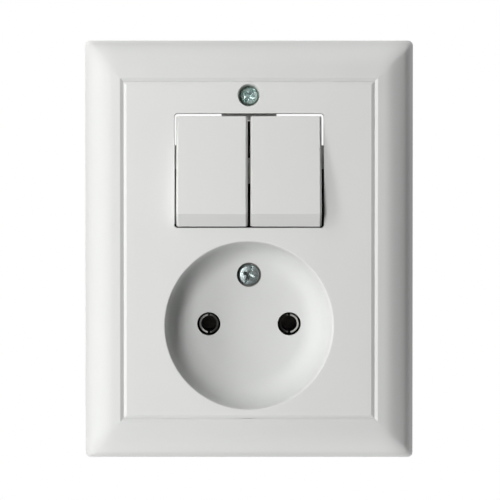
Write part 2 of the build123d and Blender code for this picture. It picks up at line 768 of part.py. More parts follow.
with BuildPart() as terminal_screws:
    for x, z, turn in TERMINALS:
        with BuildSketch(depth(clamp_top)):
            with Locations((x, z)):
                Circle(TERMINAL_HEAD_RADIUS)
        extrude(amount=-TERMINAL_HEAD_HEIGHT)
        with BuildSketch(depth(clamp_top)):
            with Locations((x, z)):
                Circle(TERMINAL_SHANK_RADIUS)
        extrude(amount=clamp_top - TERMINAL_SHANK_END)
        with BuildSketch(depth(clamp_top + TERMINAL_HEAD_HEIGHT)):
            with Locations(Location((x, z), turn)):
                Rectangle(TERMINAL_SLOT, 2 * TERMINAL_HEAD_RADIUS)
        extrude(amount=TERMINAL_SLOT_DEPTH, mode=Mode.SUBTRACT)
terminal_screws.part.label = "terminal_screws"
export_step(terminal_screws.part, "parts/terminal_screws.step")


# Base housing
def base_outline(inset):
    """Round block with flat sides."""
    Circle(BASE_RADIUS - inset)
    Rectangle(BASE_WIDTH - 2 * inset, 2 * BASE_RADIUS, mode=Mode.INTERSECT)


def rectangle_between(x0, x1, z0, z1, mode=Mode.ADD):
    with Locations(((x0 + x1) / 2, (z0 + z1) / 2)):
        Rectangle(abs(x1 - x0), abs(z1 - z0), mode=mode)


with BuildPart() as base_housing:
    with BuildSketch(depth(0)):
        base_outline(0)
    extrude(amount=-BASE_DEPTH)
    # seat of the mechanism cover, switch chamber, contact pockets
    with BuildSketch(depth(0)):
        base_outline(BASE_WALL)
    extrude(amount=-COVER_BACK, mode=Mode.SUBTRACT)
    with BuildSketch(depth(COVER_BACK)):
        base_outline(BASE_WALL + COVER_LEDGE)
        rectangle_between(-BASE_WIDTH, BASE_WIDTH, CHAMBER_FOOT, BASE_RADIUS, Mode.INTERSECT)
    extrude(amount=COVER_BACK - switch_floor, mode=Mode.SUBTRACT)
    pocket = sleeve_outer + POCKET_MARGIN
    with BuildSketch(depth(COVER_BACK)):
        for side, sign in SIDES:
            rectangle_between(
                sign * pin_x - pocket,
                sign * pin_x + pocket,
                DISH_Z - pocket,
                CONTACT_BEND + STRIP_THICKNESS + STRIP_CLEARANCE,
            )
    extrude(amount=COVER_BACK - SOCKET_FLOOR, mode=Mode.SUBTRACT)
    # slits in the partition for the strips
    slit = STRIP_THICKNESS + STRIP_CLEARANCE
    with BuildSketch(depth(COVER_BACK)):
        for side, sign in SIDES:
            with Locations((sign * (OUTPUT_BEND + STRIP_THICKNESS / 2), output_z)):
                Rectangle(slit, OUTPUT_WIDTH + STRIP_CLEARANCE)
            with Locations((sign * pin_x, CONTACT_BEND + STRIP_THICKNESS / 2)):
                Rectangle(CONTACT_TAIL_WIDTH + STRIP_CLEARANCE, slit)
        with Locations((0, COMMON_BEND + STRIP_THICKNESS / 2)):
            Rectangle(COMMON_TAIL_WIDTH + STRIP_CLEARANCE, slit)
    extrude(amount=COVER_BACK - BAY_FLOOR, mode=Mode.SUBTRACT)
    # open terminal bays at the rear, and the cored-out lower part
    with BuildSketch(depth(BASE_DEPTH)):
        output_side = OUTPUT_WIDTH / 2 + BAY_SIDE
        contact_side = CONTACT_TAIL_WIDTH / 2 + BAY_SIDE
        common_side = COMMON_TAIL_WIDTH / 2 + BAY_SIDE
        for side, sign in SIDES:
            rectangle_between(
                sign * (OUTPUT_BEND - BAY_MARGIN),
                sign * BASE_RADIUS,
                output_z - output_side,
                output_z + output_side,
            )
            rectangle_between(
                sign * (pin_x - contact_side),
                sign * BASE_RADIUS,
                CONTACT_BEND - BAY_MARGIN,
                CONTACT_BEND + PAD_LENGTH + BAY_MARGIN,
            )
        rectangle_between(-common_side, common_side, tail_top - PAD_LENGTH - BAY_MARGIN, BASE_RADIUS)
    extrude(amount=BASE_DEPTH - BAY_FLOOR, mode=Mode.SUBTRACT)
    with BuildSketch(depth(BASE_DEPTH)):
        base_outline(BASE_WALL)
        rectangle_between(-BASE_WIDTH, BASE_WIDTH, -BASE_RADIUS, CORE_TOP, Mode.INTERSECT)
        Rectangle(CORE_RIB, 2 * BASE_RADIUS, mode=Mode.SUBTRACT)
    extrude(amount=BASE_DEPTH - BAY_FLOOR, mode=Mode.SUBTRACT)
    # holes for the terminal screws, the socket screw and the support rivets
    with BuildSketch(depth(BAY_FLOOR)):
        for x, z, turn in TERMINALS:
            with Locations((x, z)):
                Circle(TERMINAL_SHANK_RADIUS + TERMINAL_HOLE_GAP)
    extrude(amount=BAY_FLOOR - TERMINAL_SHANK_END + TERMINAL_HOLE_GAP, mode=Mode.SUBTRACT)
    with BuildSketch(depth(0)):
        with Locations((0, SOCKET_SCREW_Z)):
            Circle(SOCKET_SHANK_RADIUS + SCREW_POCKET_GAP)
    extrude(amount=-SCREW_END_DEPTH - SCREW_POCKET_GAP, mode=Mode.SUBTRACT)
    with BuildSketch(depth(0)):
        for x, z in SUPPORT_RIVETS:
            with Locations((x, z), (-x, z)):
                Circle(SUPPORT_RIVET_RADIUS + RIVET_FIT)
    extrude(amount=-SUPPORT_RIVET_DEPTH - RIVET_FIT, mode=Mode.SUBTRACT)
base_housing.part.label = "base_housing"
export_step(base_housing.part, "parts/base_housing.step")

# Mechanism cover with pin collars, plunger slots and the bearing ears of the rockers
with BuildPart() as mechanism_cover:
    with BuildSketch(depth(COVER_BACK)):
        base_outline(BASE_WALL + COVER_GAP)
    extrude(amount=COVER_BACK - COVER_FRONT)
    with BuildSketch(depth(COVER_FRONT)):
        for side, sign in SIDES:
            with Locations((sign * pin_x, DISH_Z)):
                Circle(COLLAR_BORE / 2 + COLLAR_WALL)
    extrude(amount=COVER_FRONT + COLLAR_LEVEL)
    for side, sign in SIDES:
        for end in (-1, 1):
            with BuildSketch(upright_at(rocker_centre(sign) + end * EAR_INSIDE, SWITCH_Z)):
                with BuildLine():
                    Polyline(
                        (-EAR_FOOT_HALF, -COVER_BACK),
                        (-EAR_TIP_HALF, PIVOT_LEVEL + EAR_TIP),
                        (EAR_TIP_HALF, PIVOT_LEVEL + EAR_TIP),
                        (EAR_FOOT_HALF, -COVER_BACK),
                        close=True,
                    )
                make_face()
                with Locations((0, PIVOT_LEVEL)):
                    Circle(TRUNNION_RADIUS + PIVOT_CLEARANCE, mode=Mode.SUBTRACT)
            extrude(amount=end * EAR_THICKNESS)
    # wall below the gap between the rockers, with a thin tongue that guides them
    post_half = POST_THICKNESS / 2
    with BuildSketch(depth(COVER_BACK)):
        rectangle_between(-post_half, post_half, POST_FOOT, POST_OVERHANG)
    extrude(amount=COVER_BACK + POST_LEVEL)
    with BuildSketch(level(POST_CLEARANCE)):
        rectangle_between(-post_half, post_half, POST_FOOT, POST_TOP)
    extrude(amount=POST_LEVEL - POST_CLEARANCE)
    with BuildSketch(depth(COVER_BACK)):
        with Locations((0, SWITCH_Z)):
            Rectangle(TONGUE_THICKNESS, 2 * TONGUE_HALF)
    extrude(amount=COVER_BACK + TONGUE_LEVEL)
    with BuildSketch(depth(COVER_BACK)):
        for side, sign in SIDES:
            with Locations((rocker_centre(sign), SWITCH_Z)):
                Rectangle(SLOT_WIDTH, SLOT_HEIGHT)
            with Locations((sign * pin_x, DISH_Z)):
                Circle(COLLAR_BORE / 2)
            for x, z in SUPPORT_RIVETS:
                with Locations((sign * x, z)):
                    Circle(SUPPORT_RIVET_RADIUS + SCREW_CLEARANCE)
        with Locations((0, SOCKET_SCREW_Z)):
            Circle(SOCKET_SHANK_RADIUS + SCREW_CLEARANCE)
    extrude(amount=COVER_BACK + COLLAR_LEVEL, mode=Mode.SUBTRACT)
mechanism_cover.part.label = "mechanism_cover"
export_step(mechanism_cover.part, "parts/mechanism_cover.step")

# Support plate with its windows, slots and threaded holes, cut away behind the rockers' upper corners
support_width = FRAME_WIDTH - 2 * SUPPORT_SIDE_INSET
support_height = FRAME_HEIGHT - 2 * SUPPORT_END_INSET
cutout_width = WINDOW_WIDTH / 2 + CUTOUT_MARGIN - CUTOUT_INSIDE
cutout_height = SWITCH_Z + WINDOW_HEIGHT / 2 + CUTOUT_MARGIN - CUTOUT_FOOT
gap_side = WINDOW_WIDTH / 2 + GAP_MARGIN
gap_foot = SWITCH_Z - WINDOW_HEIGHT / 2 - 2 * GAP_MARGIN
post_side = post_half + POST_CLEARANCE
cutout_x = CUTOUT_INSIDE + cutout_width / 2
cutout_z = CUTOUT_FOOT + cutout_height / 2

with BuildPart() as support_plate:
    with BuildSketch(level(0)):
        RectangleRounded(support_width, support_height, SUPPORT_CORNER)
        with Locations((0, SWITCH_Z)):
            Rectangle(SUPPORT_WINDOW_WIDTH, SUPPORT_WINDOW_HEIGHT, mode=Mode.SUBTRACT)
        rectangle_between(-gap_side, gap_side, gap_foot, GAP_WINDOW_TOP, Mode.SUBTRACT)
        rectangle_between(-post_side, post_side, SWITCH_Z, POST_TOP + POST_CLEARANCE, Mode.SUBTRACT)
        with Locations((cutout_x, cutout_z), (-cutout_x, cutout_z)):
            RectangleRounded(cutout_width, cutout_height, CUTOUT_CORNER, mode=Mode.SUBTRACT)
        with Locations((pin_x, DISH_Z), (-pin_x, DISH_Z)):
            Circle(COLLAR_BORE / 2 + COLLAR_WALL + COLLAR_CLEARANCE, mode=Mode.SUBTRACT)
        with GridLocations(BOX_SCREW_SPACING, 0, 2, 1):
            SlotOverall(BOX_SLOT_LENGTH, BOX_SLOT_WIDTH, mode=Mode.SUBTRACT)
        with Locations((0, UPPER_SCREW_Z)):
            Circle(UPPER_SHANK_RADIUS + THREAD_FIT, mode=Mode.SUBTRACT)
        with Locations((0, SOCKET_SCREW_Z)):
            Circle(SOCKET_SHANK_RADIUS + THREAD_FIT, mode=Mode.SUBTRACT)
        for x, z in SUPPORT_RIVETS:
            with Locations((x, z), (-x, z)):
                Circle(SUPPORT_RIVET_RADIUS + RIVET_FIT, mode=Mode.SUBTRACT)
    extrude(amount=SUPPORT_THICKNESS)
support_plate.part.label = "support_plate"
export_step(support_plate.part, "parts/support_plate.step")

with BuildPart() as support_rivets:
    with BuildSketch(level(SUPPORT_THICKNESS)):
        for x, z in SUPPORT_RIVETS:
            with Locations((x, z), (-x, z)):
                Circle(SUPPORT_RIVET_HEAD)
    extrude(amount=SUPPORT_RIVET_HEIGHT)
    chamfer(faces().filter_by(Axis.Y).sort_by(Axis.Y)[:4].edges(), SUPPORT_RIVET_HEIGHT / 2)
    with BuildSketch(level(SUPPORT_THICKNESS)):
        for x, z in SUPPORT_RIVETS:
            with Locations((x, z), (-x, z)):
                Circle(SUPPORT_RIVET_RADIUS)
    extrude(amount=-SUPPORT_THICKNESS - SUPPORT_RIVET_DEPTH)
support_rivets.part.label = "support_rivets"
export_step(support_rivets.part, "parts/support_rivets.step")


# Cover screws with a cross recess
def cross_recess():
    Rectangle(RECESS_SPAN, RECESS_WIDTH)
    Rectangle(RECESS_WIDTH, RECESS_SPAN)


with BuildPart() as upper_cover_screw:
    with BuildSketch(level(upper_seat)):
        with Locations((0, UPPER_SCREW_Z)):
            Circle(UPPER_HEAD_DIAMETER / 2)
    extrude(amount=UPPER_HEAD_HEIGHT)
    fillet(edges().group_by(Axis.Y)[0], HEAD_ROUNDING)
    with BuildSketch(level(upper_seat)):
        with Locations((0, UPPER_SCREW_Z)):
            Circle(UPPER_SHANK_RADIUS)
    extrude(amount=-upper_seat - SCREW_END_DEPTH)
    with BuildSketch(level(upper_head_top)):
        with Locations((0, UPPER_SCREW_Z)):
            cross_recess()
    extrude(amount=-RECESS_DEPTH, mode=Mode.SUBTRACT)
upper_cover_screw.part.label = "upper_cover_screw"
export_step(upper_cover_screw.part, "parts/upper_cover_screw.step")

with BuildPart() as socket_cover_screw:
    with BuildSketch(level(socket_seat)):
        with Locations((0, SOCKET_SCREW_Z)):
            Circle(SOCKET_HEAD_DIAMETER / 2)
    extrude(amount=SOCKET_HEAD_HEIGHT)
    fillet(edges().group_by(Axis.Y)[0], HEAD_ROUNDING)
    with BuildSketch(level(socket_seat)):
        with Locations((0, SOCKET_SCREW_Z)):
            Circle(SOCKET_SHANK_RADIUS)
    extrude(amount=-socket_seat - SCREW_END_DEPTH)
    with BuildSketch(level(socket_head_top)):
        with Locations((0, SOCKET_SCREW_Z)):
            cross_recess()
    extrude(amount=-RECESS_DEPTH, mode=Mode.SUBTRACT)
socket_cover_screw.part.label = "socket_cover_screw"
export_step(socket_cover_screw.part, "parts/socket_cover_screw.step")
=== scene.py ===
from math import cos, pi, radians, sin

import bmesh
import bpy
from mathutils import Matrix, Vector


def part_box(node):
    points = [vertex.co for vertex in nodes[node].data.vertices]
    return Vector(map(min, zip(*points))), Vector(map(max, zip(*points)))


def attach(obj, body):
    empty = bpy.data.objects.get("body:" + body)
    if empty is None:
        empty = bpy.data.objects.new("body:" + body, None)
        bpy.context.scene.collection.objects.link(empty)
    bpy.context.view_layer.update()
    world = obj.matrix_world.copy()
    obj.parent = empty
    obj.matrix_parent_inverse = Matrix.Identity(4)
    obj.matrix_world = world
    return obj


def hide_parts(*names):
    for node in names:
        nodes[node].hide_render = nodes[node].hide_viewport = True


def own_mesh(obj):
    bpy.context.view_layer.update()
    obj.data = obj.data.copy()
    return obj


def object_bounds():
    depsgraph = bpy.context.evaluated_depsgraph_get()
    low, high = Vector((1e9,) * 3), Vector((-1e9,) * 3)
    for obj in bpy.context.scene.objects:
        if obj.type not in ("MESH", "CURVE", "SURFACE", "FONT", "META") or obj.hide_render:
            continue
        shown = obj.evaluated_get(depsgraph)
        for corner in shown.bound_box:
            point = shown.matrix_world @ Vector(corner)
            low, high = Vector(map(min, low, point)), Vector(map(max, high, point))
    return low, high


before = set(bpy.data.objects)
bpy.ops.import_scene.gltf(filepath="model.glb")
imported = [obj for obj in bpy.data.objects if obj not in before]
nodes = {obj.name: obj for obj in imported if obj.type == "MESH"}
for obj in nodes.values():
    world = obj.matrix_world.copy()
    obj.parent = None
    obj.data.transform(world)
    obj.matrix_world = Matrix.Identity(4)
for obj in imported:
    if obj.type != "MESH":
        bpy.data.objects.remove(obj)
cad_low, cad_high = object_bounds()

# Lengths are in metres unless named otherwise, in the CAD's frame: X right, Y into the wall, Z up

# Camera: in front and a little above the middle, its view measured at the wall plane
CAMERA_DISTANCE = 0.6
CAMERA_RISE = 0.011
VIEW_WIDTH = 0.1187
VIEW_CENTRE = (0.00023, -0.00022)
SENSOR_MM = 36.0

# Lamps: name, place, target, size and power
MIDDLE = (0, 0, 0)
LAMPS = (
    ("key", (-0.24, -0.496, 0.07), MIDDLE, (0.1, 0.3), 1.77),
    ("low_key", (-0.28, -0.415, -0.3), MIDDLE, (0.11, 0.6), 0.46),
    ("side", (-0.44, -0.26, 0.09), MIDDLE, (0.12, 1.0), 1.5),
    ("upper_bounce", (-0.1, 0, 0.22), MIDDLE, (0.3, 0.04), 0.125),
    ("lower_bounce", (-0.1, 0, -0.22), MIDDLE, (0.3, 0.04), 0.235),
    ("upper_corner", (0.15, 0, 0.18), (0.03, 0, 0.04), (0.06, 0.04), 0.12),
    ("lower_corner", (0.15, 0, -0.18), (0.03, 0, -0.04), (0.06, 0.04), 0.13),
    ("rear", (-0.25, 0.65, 0.3), MIDDLE, (0.4, 0.4), 2.0),
)
OVERHEAD = ("overhead", (-0.4, -0.5, 3.0), (-0.4, -0.5, 0), (1.5, 1.5), 210)

# World: for each grade along Y, the direction from and to, then the strength from and to
FILL_COLOUR = (0.97, 0.985, 1.0, 1)
FILL_GRADE = (0.0, 0.8, 0.0, 0.4)
BACKDROP_GRADE = (0.6, 1.0, 0.2, 1.0)

# Floor
FLOOR_DROP = 0.8
FLOOR_RADIUS = 2.0
FLOOR_SEGMENTS = 96
FLOOR_ROUGHNESS = 0.8

# Noise: the part of its range that is used, then features per metre and detail of each kind
NOISE_SPAN = (0.2, 0.8)
PLASTIC_CLOUDS = (55, 3)
PLASTIC_SHEEN = (240, 3)
PLASTIC_PORES = (3800, 2)
METAL_CLOUDS = (900, 3)
METAL_SHEEN = (1500, 4)
METAL_PORES = (2600, 3)
DISH_SHADE_CLOUDS = (120, 3)
HOLE_SHADE_SPECKS = (900, 3)
ROCKER_SHADE_CLOUDS = (150, 3)
EAR_CLOUDS = (90, 2)
SLEEVE_INNER_SHADE = (700, 2)
SLEEVE_SHADE_CLOUDS = (500, 2)
FLOOR_CLOUDS = (6, 2)

# Surfaces: strength of bumps, reflection of plastic, roughness of white plastic, heights of grain
PLASTIC_BUMP = 0.25
METAL_BUMP = 0.3
PLASTIC_SPECULAR = 0.3
WHITE_GLOSS = (0.54, 0.66)
FINE_GRAIN = 0.000008
WHITE_GRAIN = 0.000012
EAR_GRAIN = 0.00002
BASE_GRAIN = 0.00003
METAL_GRAIN = 0.00001
SOCKET_SCREW_GRAIN = 0.00012
UPPER_SCREW_GRAIN = 0.00018

# Frame: its domed border at the sides and ends, the first slope, the bend that follows and the groove
SIDE_BORDER = 0.0088
END_BORDER = 0.009375
BORDER_SLOPE = radians(6)
BORDER_BEND = 0.0074
BORDER_RADIUS = 0.008
GROOVE_WIDTH = 0.00077

# Soft corners: limits of reach and slope, what counts as front, how two slopes share a corner
LEAST_REACH = 0.0001
STEEPEST = 0.95
FRONT_FACING = -0.2
DROP_POWER = 2.0
CORNER_BLEND = 0.6

# Dish, where shade is painted: its middle, the distances where the painted shade begins and is full, the
# depths between wall and floor
DISH_MIDDLE = (0, -0.0075, -0.0176)
DISH_SHADE_FADE = (0.0202, 0.0185)
DISH_SHADE_FLOOR = (-0.0055, -0.004)

# Painted shade round the screw heads, in their holes: middle, the distances where it begins and is full,
# darkest and palest
SCREW_HOLE_SHADE = (
    ((0, -0.0082, 0.036), (0.0036, 0.0018), 0.48, 0.64),
    ((0, -0.0016, -0.006), (0.0034, 0.0028), 0.14, 0.3),
)
HOLE_SHADE_BLUE = 0.94

# Rockers: how far a face turns down where its painted shade begins and is full
ROCKER_SHADE_TURN = (-0.08, -0.16)

# Mechanism cover: the depths between its pale front and the dark rest
EAR_DEPTHS = (-0.0105, -0.009)

# Sleeves: the point between them, the distances and depths where their painted shade begins and is full
SLEEVE_MIDDLE = (0, -0.0011, -0.0176)
SLEEVE_SHADE_FADE = (0.0102, 0.009)
SLEEVE_SHADE_DEPTHS = (-0.0009, 0.0003)

# Cover screws: RECESS_RISE is a share of the depth, and below RECESS_SHADE_DEPTH the recess has its own steel
COLUMNS = 144
HEAD_RINGS = 46
EDGE_RINGS = 6
HEAD_EDGE = 0.0004
HEAD_DOME = 0.00016
RECESS_DEPTH = 0.0011
RECESS_RISE = 0.5
RECESS_SPAN = 0.00135
RECESS_HALF = 0.0004
RECESS_SLOPE = 0.00014
# below this depth the recess takes a darker steel, as painted shade
RECESS_SHADE_DEPTH = 0.00035
SLOT_DEPTH = 0.0005
SLOT_HALF = 0.0003
THREAD_PITCH = 0.0005
THREAD_DEPTH = 0.00022
THREAD_STEPS = 6
SHARP_ANGLE = radians(40)

# Lips in the switch window: their section as shares of the width and depths below the plate's face
PLATE_FACE = -0.012
LIP_SECTION = ((-0.2, 0.0001), (1.0, 0.0004), (1.0, 0.0016), (-0.2, 0.0016))

# For each lip: the axis across it, its wall, its width and its ends
LIPS = (
    ("x", -0.01745, 0.00022, 0.006, 0.0246),
    ("z", 0.0051, 0.0001, -0.0166, 0.0166),
)


# Node helpers

def new_material(name):
    made = bpy.data.materials.new(name)
    made.use_nodes = True
    tree = made.node_tree
    return made, tree, tree.nodes["Principled BSDF"]


def coordinates(tree, kind):
    return tree.nodes.new("ShaderNodeTexCoord").outputs[kind]


def split(tree, vector):
    parts = tree.nodes.new("ShaderNodeSeparateXYZ")
    tree.links.new(vector, parts.inputs["Vector"])
    return parts.outputs


def fill_inputs(tree, node, values):
    """Sets the node's inputs in order. Each value is a number or a socket."""
    for socket, value in zip(node.inputs, values):
        if isinstance(value, (int, float)):
            socket.default_value = value
        else:
            tree.links.new(value, socket)


def calc(tree, operation, first, second=0.0):
    made = tree.nodes.new("ShaderNodeMath")
    made.operation = operation
    fill_inputs(tree, made, (first, second))
    return made.outputs["Value"]


def join(tree, *values):
    made = tree.nodes.new("ShaderNodeCombineXYZ")
    fill_inputs(tree, made, values)
    return made.outputs["Vector"]


def spread(tree, value, start, end, low=0.0, high=1.0):
    """Low where the value is start, high where it is end."""
    share = tree.nodes.new("ShaderNodeMapRange")
    for name, limit in zip(("From Min", "From Max", "To Min", "To Max"), (start, end, low, high)):
        share.inputs[name].default_value = limit
    tree.links.new(value, share.inputs["Value"])
    return share.outputs["Result"]


def share_by_depth(tree, start, end):
    """From 0 at depth start to 1 at depth end, measured along Y."""
    return spread(tree, split(tree, coordinates(tree, "Object"))["Y"], start, end)


def share_by_distance(tree, point, start, end):
    """From 0 at distance start from the point to 1 at distance end."""
    reach = tree.nodes.new("ShaderNodeVectorMath")
    reach.operation = "DISTANCE"
    reach.inputs[1].default_value = point
    tree.links.new(coordinates(tree, "Object"), reach.inputs[0])
    return spread(tree, reach.outputs["Value"], start, end)


def noise(tree, kind, stretch=(1, 1, 1)):
    size = tree.nodes.new("ShaderNodeMapping")
    size.inputs["Scale"].default_value = stretch
    grain = tree.nodes.new("ShaderNodeTexNoise")
    grain.inputs["Scale"].default_value, grain.inputs["Detail"].default_value = kind
    tree.links.new(coordinates(tree, "Object"), size.inputs["Vector"])
    tree.links.new(size.outputs["Vector"], grain.inputs["Vector"])
    return grain.outputs["Fac"]


def tint(tree, source, low, high, span):
    """A colour from low to high, as the source passes over the span."""
    ramp = tree.nodes.new("ShaderNodeValToRGB")
    for element, place, colour in zip(ramp.color_ramp.elements, span, (low, high)):
        element.position = place
        element.color = (*colour, 1)
    tree.links.new(source, ramp.inputs["Fac"])
    return ramp.outputs["Color"]


# Material helpers

def vary_colour(tree, shader, source, low, high):
    tree.links.new(tint(tree, source, low, high, NOISE_SPAN), shader.inputs["Base Color"])


def fade(tree, shader, source, low, high, share):
    """Mixes another pair of colours in by the share."""
    base = shader.inputs["Base Color"].links[0].from_socket
    mix = tree.nodes.new("ShaderNodeMix")
    mix.data_type = "RGBA"
    tree.links.new(share, mix.inputs["Factor"])
    tree.links.new(base, mix.inputs["A"])
    tree.links.new(tint(tree, source, low, high, (0.0, 1.0)), mix.inputs["B"])
    tree.links.new(mix.outputs["Result"], shader.inputs["Base Color"])


def vary_roughness(tree, shader, source, low, high):
    tree.links.new(spread(tree, source, *NOISE_SPAN, low, high), shader.inputs["Roughness"])


def roughen(tree, shader, source, strength, height):
    bump = tree.nodes.new("ShaderNodeBump")
    bump.inputs["Strength"].default_value = strength
    bump.inputs["Distance"].default_value = height
    tree.links.new(source, bump.inputs["Height"])
    tree.links.new(bump.outputs["Normal"], shader.inputs["Normal"])


def border_slope(tree, position, half, border):
    """How far a point lies inside one border, and the tangent of the border's slope there."""
    beyond = calc(tree, "SUBTRACT", calc(tree, "ABSOLUTE", position), half - border)
    reach = calc(tree, "MINIMUM", calc(tree, "MAXIMUM", beyond, LEAST_REACH), border)
    bend = calc(tree, "DIVIDE", calc(tree, "SUBTRACT", reach, border - BORDER_BEND), BORDER_RADIUS)
    sine = calc(tree, "ADD", calc(tree, "MAXIMUM", bend, 0.0), sin(BORDER_SLOPE))
    sine = calc(tree, "MINIMUM", sine, STEEPEST)
    cosine = calc(tree, "SQRT", calc(tree, "SUBTRACT", 1.0, calc(tree, "POWER", sine, 2.0)))
    tangent = calc(tree, "DIVIDE", sine, cosine)
    return reach, calc(tree, "MULTIPLY", tangent, calc(tree, "SIGN", position))


def soften_mitres(tree, shader):
    """Shading normals that blend the frame's mitred corners. Mid-side they are the CAD's own."""
    _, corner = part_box("cover_frame")
    place = split(tree, coordinates(tree, "Object"))
    side_reach, side_tilt = border_slope(tree, place["X"], corner.x, SIDE_BORDER)
    end_reach, end_tilt = border_slope(tree, place["Z"], corner.z, END_BORDER)
    drops = [calc(tree, "POWER", reach, DROP_POWER) for reach in (side_reach, end_reach)]
    whole = calc(tree, "ADD", *drops)
    leans = []
    for drop, tilt in zip(drops, (side_tilt, end_tilt)):
        share = calc(tree, "POWER", calc(tree, "DIVIDE", drop, whole), CORNER_BLEND)
        leans.append(calc(tree, "MULTIPLY", share, tilt))
    # only on the dome: in front, and outside the groove
    normal = coordinates(tree, "Normal")
    front = calc(tree, "LESS_THAN", split(tree, normal)["Y"], FRONT_FACING)
    outside = calc(tree, "GREATER_THAN", calc(tree, "MAXIMUM", side_reach, end_reach), GROOVE_WIDTH)
    mix = tree.nodes.new("ShaderNodeMix")
    mix.data_type = "VECTOR"
    tree.links.new(calc(tree, "MULTIPLY", front, outside), mix.inputs["Factor"])
    ends = {socket.name: socket for socket in mix.inputs if socket.type == "VECTOR"}
    tree.links.new(normal, ends["A"])
    tree.links.new(join(tree, leans[0], -1.0, leans[1]), ends["B"])
    turn = tree.nodes.new("ShaderNodeVectorTransform")
    turn.vector_type = "NORMAL"
    turn.convert_from, turn.convert_to = "OBJECT", "WORLD"
    mixed = next(socket for socket in mix.outputs if socket.type == "VECTOR")
    tree.links.new(mixed, turn.inputs["Vector"])
    grain = shader.inputs["Normal"].links[0].from_node
    tree.links.new(turn.outputs["Vector"], grain.inputs["Normal"])


# Kinds of material. Each returns the material, its tree and its shader

def moulded_plastic(name, low, high, gloss, grain_height):
    made, tree, shader = new_material(name)
    shader.inputs["Specular IOR Level"].default_value = PLASTIC_SPECULAR
    vary_colour(tree, shader, noise(tree, PLASTIC_CLOUDS), low, high)
    vary_roughness(tree, shader, noise(tree, PLASTIC_SHEEN), *gloss)
    roughen(tree, shader, noise(tree, PLASTIC_PORES), PLASTIC_BUMP, grain_height)
    return made, tree, shader


def plated_metal(name, low, high, gloss, stretch=(1, 1, 1), grain_height=METAL_GRAIN):
    made, tree, shader = new_material(name)
    shader.inputs["Metallic"].default_value = 1.0
    vary_colour(tree, shader, noise(tree, METAL_CLOUDS), low, high)
    vary_roughness(tree, shader, noise(tree, METAL_SHEEN, stretch), *gloss)
    roughen(tree, shader, noise(tree, METAL_PORES, stretch), METAL_BUMP, grain_height)
    return made, tree, shader


def soft_frame(name):
    """White moulding, with the frame's corners blended."""
    made, tree, shader = moulded_plastic(
        name, (0.755, 0.764, 0.747), (0.773, 0.779, 0.764), WHITE_GLOSS, WHITE_GRAIN
    )
    soften_mitres(tree, shader)
    return made, tree, shader


def plate_painted_shade(name):
    """White moulding with painted shade: greyer in the dish, less so on its floor, and darker round the
    screw heads in their holes.
    """
    made, tree, shader = moulded_plastic(
        name, (0.79, 0.797, 0.778), (0.81, 0.813, 0.797), WHITE_GLOSS, WHITE_GRAIN
    )
    # painted shade: the dish is greyer, its walls more than its floor
    inside = share_by_distance(tree, DISH_MIDDLE, *DISH_SHADE_FADE)
    fade(tree, shader, noise(tree, DISH_SHADE_CLOUDS), (0.672, 0.682, 0.669), (0.701, 0.709, 0.696), inside)
    bottom = share_by_depth(tree, *DISH_SHADE_FLOOR)
    fade(tree, shader, noise(tree, DISH_SHADE_CLOUDS), (0.705, 0.715, 0.702), (0.735, 0.743, 0.73), bottom)
    # painted shade in the screw holes, darkest round each head
    for point, reach, *greys in SCREW_HOLE_SHADE:
        near = share_by_distance(tree, point, *reach)
        low, high = ((grey, grey, HOLE_SHADE_BLUE * grey) for grey in greys)
        fade(tree, shader, noise(tree, HOLE_SHADE_SPECKS), low, high, near)
    return made, tree, shader


def rocker_painted_shade(name):
    """White moulding, with painted shade on the faces turned down."""
    made, tree, shader = moulded_plastic(
        name, (0.785, 0.79, 0.773), (0.795, 0.8, 0.783), (0.4, 0.48), FINE_GRAIN
    )
    # painted shade: faces turned down are greyer
    down = spread(tree, split(tree, coordinates(tree, "Normal"))["Z"], *ROCKER_SHADE_TURN)
    fade(tree, shader, noise(tree, ROCKER_SHADE_CLOUDS), (0.71, 0.715, 0.7), (0.735, 0.74, 0.725), down)
    return made, tree, shader


def two_tone_thermoset(name):
    """Dark moulding, pale at the front where it guides the rockers."""
    made, tree, shader = moulded_plastic(name, (0.6, 0.6, 0.57), (0.7, 0.7, 0.67), (0.4, 0.6), EAR_GRAIN)
    # pale at the front and dark deeper in, by depth alone
    deep = share_by_depth(tree, *EAR_DEPTHS)
    fade(tree, shader, noise(tree, EAR_CLOUDS), (0.02, 0.02, 0.022), (0.035, 0.035, 0.037), deep)
    return made, tree, shader


def sleeve_painted_shade(name):
    """Plated metal, clean at the outer front edge, with painted shade inside and towards the dish's middle.
    """
    made, tree, shader = plated_metal(name, (0.5, 0.49, 0.46), (0.68, 0.67, 0.64), (0.3, 0.45))
    # painted shade: darker deeper in the sleeves and on their sides towards the dish's middle
    dark = (0.03, 0.028, 0.026), (0.09, 0.085, 0.08)
    fade(tree, shader, noise(tree, SLEEVE_INNER_SHADE), *dark, share_by_depth(tree, *SLEEVE_SHADE_DEPTHS))
    inner = share_by_distance(tree, SLEEVE_MIDDLE, *SLEEVE_SHADE_FADE)
    fade(tree, shader, noise(tree, SLEEVE_SHADE_CLOUDS), *dark, inner)
    return made, tree, shader


# Materials by name. The names of the record's slots come first, then those of single pieces

